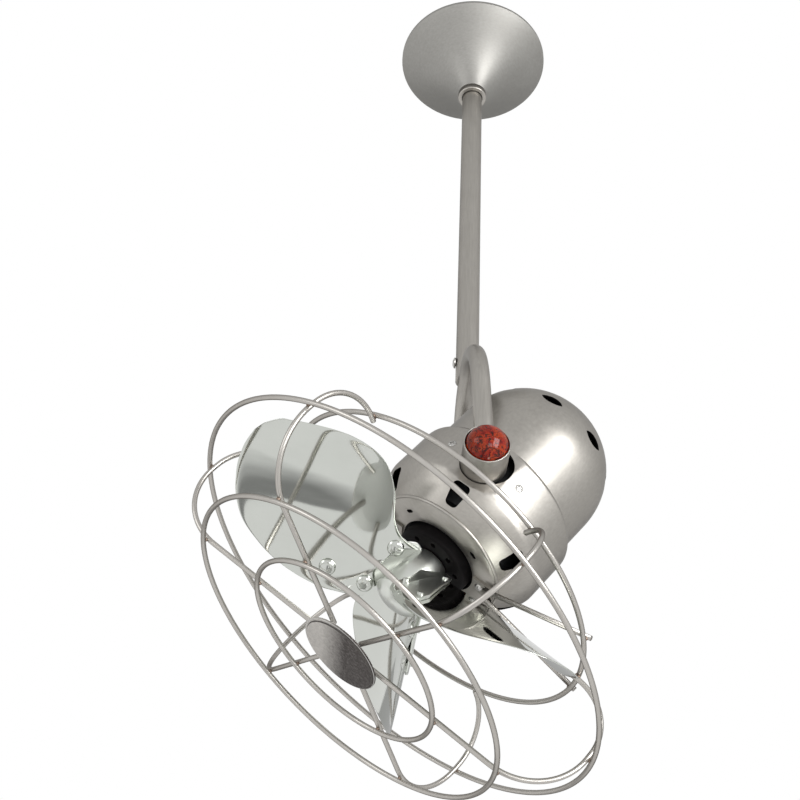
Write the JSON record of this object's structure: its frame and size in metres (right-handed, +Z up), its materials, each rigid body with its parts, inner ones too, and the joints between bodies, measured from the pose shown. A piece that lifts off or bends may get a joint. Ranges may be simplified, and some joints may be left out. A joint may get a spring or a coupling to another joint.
{
  "type": "directional ceiling fan",
  "caption": "Ceiling fan head in a wire cage, tilting in a tube yoke under a downrod and trumpet canopy, with paddle blades, a domed motor housing and wooden tilt knobs.",
  "frame": {"origin": "on the ceiling, at the centre of the canopy's rim and of the bracket's top face", "axes": "+Z up along the downrod into the ceiling, +X along the tilt axis, -Y the way the head faces at rest"},
  "size_m": [0.4044, 0.3503, 0.8656],
  "materials": {
    "satin_nickel": "satin brushed nickel plate",
    "polished_chrome": "mirror chrome plate",
    "black_paint": "black motor paint",
    "burl_wood": "lacquered red-brown burl with black specks",
    "pewter": "dark pewter, bare face",
    "zinc_steel": "zinc-plated steel",
    "copper_winding": "enamelled copper wire",
    "lamination": "stacked electrical steel",
    "fibre": "dark fibre and nylon",
    "cast_alloy": "die-cast alloy"
  },
  "bodies": {
    "root": {"ceiling_bracket": "zinc_steel", "hanger_ball": "fibre", "hanger_pin": "zinc_steel", "canopy": "satin_nickel", "canopy_collar": "satin_nickel", "collar_screw": "zinc_steel", "downrod": "satin_nickel", "yoke": "satin_nickel", "yoke_screw": "zinc_steel", "yoke_nut": "zinc_steel", "right_trunnion_cup": "satin_nickel", "left_trunnion_cup": "satin_nickel"},
    "head": {"rear_shell": "satin_nickel", "front_shell": "satin_nickel", "guard_inner_ring": "satin_nickel", "guard_front_ring": "satin_nickel", "guard_rim_ring": "satin_nickel", "guard_rear_ring": "satin_nickel", "guard_rib_1": "satin_nickel", "guard_rib_2": "satin_nickel", "guard_rib_3": "satin_nickel", "guard_rib_4": "satin_nickel", "guard_rib_5": "satin_nickel", "guard_rib_6": "satin_nickel", "guard_tabs": "satin_nickel", "guard_struts": "satin_nickel", "guard_badge": "pewter", "shell_screws": "zinc_steel", "trunnion_studs": "zinc_steel", "bearings": "zinc_steel", "guard_tab_screws": "zinc_steel", "guard_tab_nuts": "zinc_steel", "stator_windings": "copper_winding", "stator_core": "lamination", "friction_washers": "fibre", "motor_frame": "cast_alloy", "front_end_bell": "cast_alloy", "rear_end_bell": "cast_alloy"},
    "rotor": {"rotor_core": "lamination", "motor_shaft": "zinc_steel", "rotor_disc": "black_paint", "blade_hub": "polished_chrome", "hub_nose": "polished_chrome", "blade_1": "polished_chrome", "blade_2": "polished_chrome", "blade_3": "polished_chrome", "blade_rivets": "polished_chrome"},
    "right_knob": {"right_tilt_knob": "burl_wood"},
    "left_knob": {"left_tilt_knob": "burl_wood"}
  },
  "joints": [
    {"name": "head_tilt", "type": "hinge", "parent": "root", "child": "head", "pos_m": [0, 0.0082, -0.635], "axis": [1, 0, 0], "range_deg": [-53, 127]},
    {"name": "fan_spin", "type": "hinge", "parent": "head", "child": "rotor", "pos_m": [0, 0.0082, -0.635], "axis": [0, -0.6018, -0.7986], "continuous": true},
    {"name": "right_knob_turn", "type": "hinge", "parent": "head", "child": "right_knob", "pos_m": [0, 0.0082, -0.635], "axis": [1, 0, 0], "range_deg": [0, 360]},
    {"name": "left_knob_turn", "type": "hinge", "parent": "head", "child": "left_knob", "pos_m": [0, 0.0082, -0.635], "axis": [-1, 0, 0], "range_deg": [0, 360]}
  ]
}
